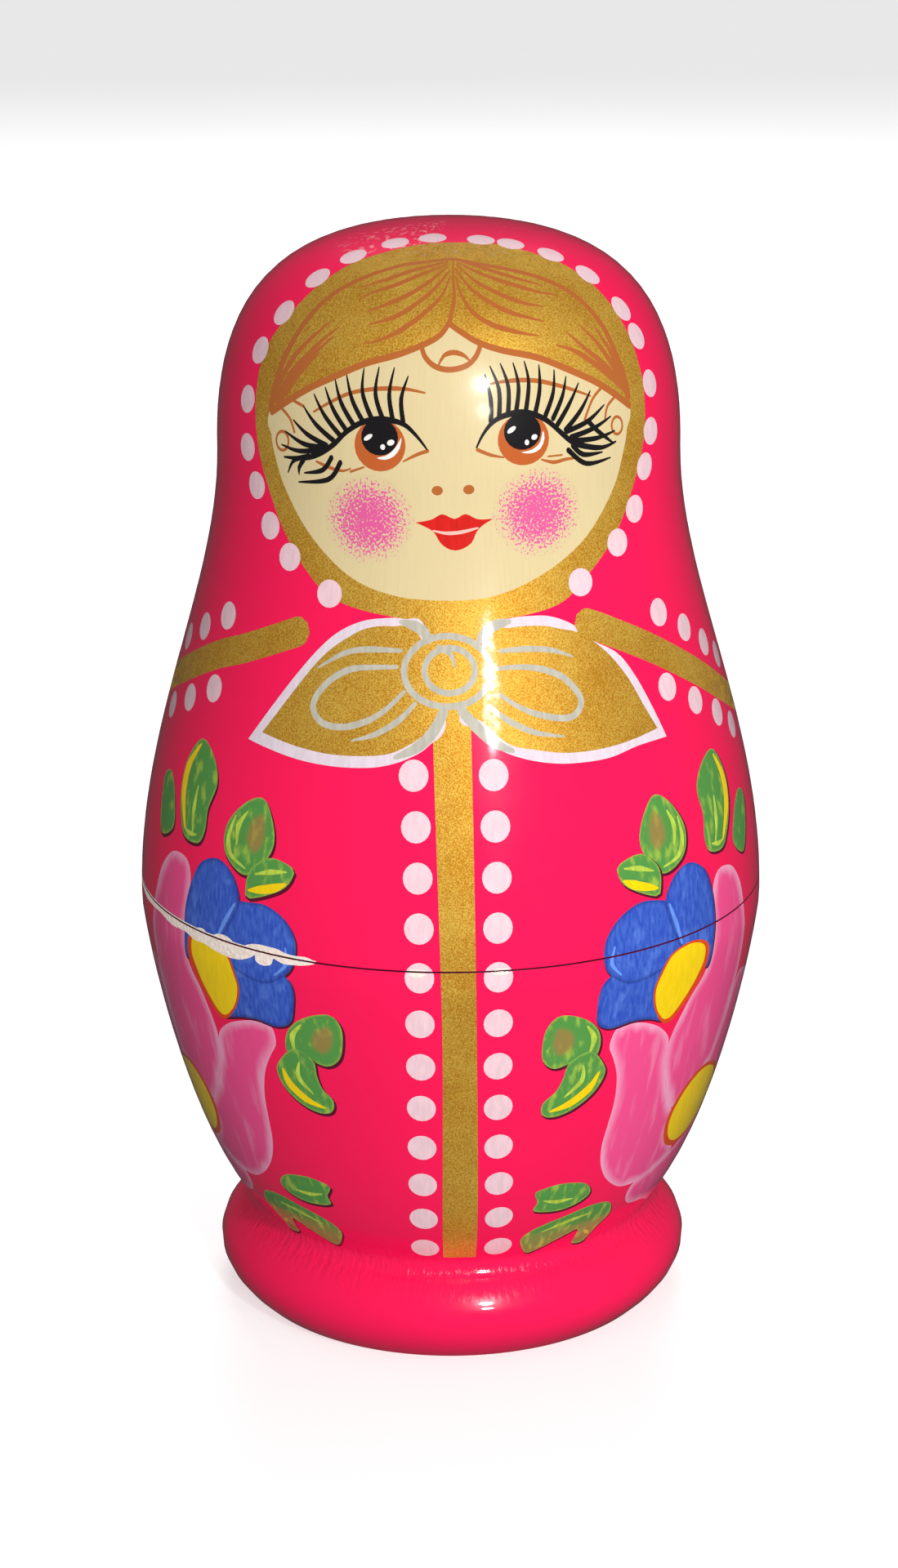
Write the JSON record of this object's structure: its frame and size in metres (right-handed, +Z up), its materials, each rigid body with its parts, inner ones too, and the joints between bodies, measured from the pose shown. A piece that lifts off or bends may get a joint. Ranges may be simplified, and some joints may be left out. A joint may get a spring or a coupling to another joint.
{
  "type": "matryoshka nesting doll",
  "caption": "Painted wooden nesting doll with a girl's face, bow and flowers. It parts at the belly on a lipped joint and holds ever smaller dolls of the same shape.",
  "frame": {"origin": "centre of the flat sole, on the surface that the doll stands on", "axes": "+Z up along the turning axis, the painted face towards -Y, +X to the right as the face is seen"},
  "size_m": [0.0856, 0.0856, 0.15],
  "materials": {
    "lacquered_wood": "gloss lacquer with printed decoration outside, bare turned wood inside"
  },
  "bodies": {
    "outer_lower": {"outer_lower": "lacquered_wood"},
    "second_lower": {"second_lower": "lacquered_wood"},
    "third_lower": {"third_lower": "lacquered_wood"},
    "fourth_lower": {"fourth_lower": "lacquered_wood"},
    "fifth_lower": {"fifth_lower": "lacquered_wood"},
    "sixth_lower": {"sixth_lower": "lacquered_wood"},
    "core_doll": {"core_doll": "lacquered_wood"},
    "sixth_upper": {"sixth_upper": "lacquered_wood"},
    "fifth_upper": {"fifth_upper": "lacquered_wood"},
    "fourth_upper": {"fourth_upper": "lacquered_wood"},
    "third_upper": {"third_upper": "lacquered_wood"},
    "second_upper": {"second_upper": "lacquered_wood"},
    "outer_upper": {"outer_upper": "lacquered_wood"}
  },
  "joints": [
    {"name": "second_lower_lift", "type": "slide", "parent": "outer_lower", "child": "second_lower", "axis": [0, 0, 1], "range_m": [0, 0.054]},
    {"name": "third_lower_lift", "type": "slide", "parent": "second_lower", "child": "third_lower", "axis": [0, 0, 1], "range_m": [0, 0.044]},
    {"name": "fourth_lower_lift", "type": "slide", "parent": "third_lower", "child": "fourth_lower", "axis": [0, 0, 1], "range_m": [0, 0.038]},
    {"name": "fifth_lower_lift", "type": "slide", "parent": "fourth_lower", "child": "fifth_lower", "axis": [0, 0, 1], "range_m": [0, 0.03]},
    {"name": "sixth_lower_lift", "type": "slide", "parent": "fifth_lower", "child": "sixth_lower", "axis": [0, 0, 1], "range_m": [0, 0.024]},
    {"name": "core_doll_lift", "type": "slide", "parent": "sixth_lower", "child": "core_doll", "axis": [0, 0, 1], "range_m": [0, 0.02]},
    {"name": "sixth_upper_lift", "type": "slide", "parent": "core_doll", "child": "sixth_upper", "axis": [0, 0, 1], "range_m": [0, 0.02]},
    {"name": "fifth_upper_lift", "type": "slide", "parent": "sixth_upper", "child": "fifth_upper", "axis": [0, 0, 1], "range_m": [0, 0.028]},
    {"name": "fourth_upper_lift", "type": "slide", "parent": "fifth_upper", "child": "fourth_upper", "axis": [0, 0, 1], "range_m": [0, 0.038]},
    {"name": "third_upper_lift", "type": "slide", "parent": "fourth_upper", "child": "third_upper", "axis": [0, 0, 1], "range_m": [0, 0.052]},
    {"name": "second_upper_lift", "type": "slide", "parent": "third_upper", "child": "second_upper", "axis": [0, 0, 1], "range_m": [0, 0.066]},
    {"name": "outer_upper_lift", "type": "slide", "parent": "second_upper", "child": "outer_upper", "axis": [0, 0, 1], "range_m": [0, 0.082]}
  ]
}
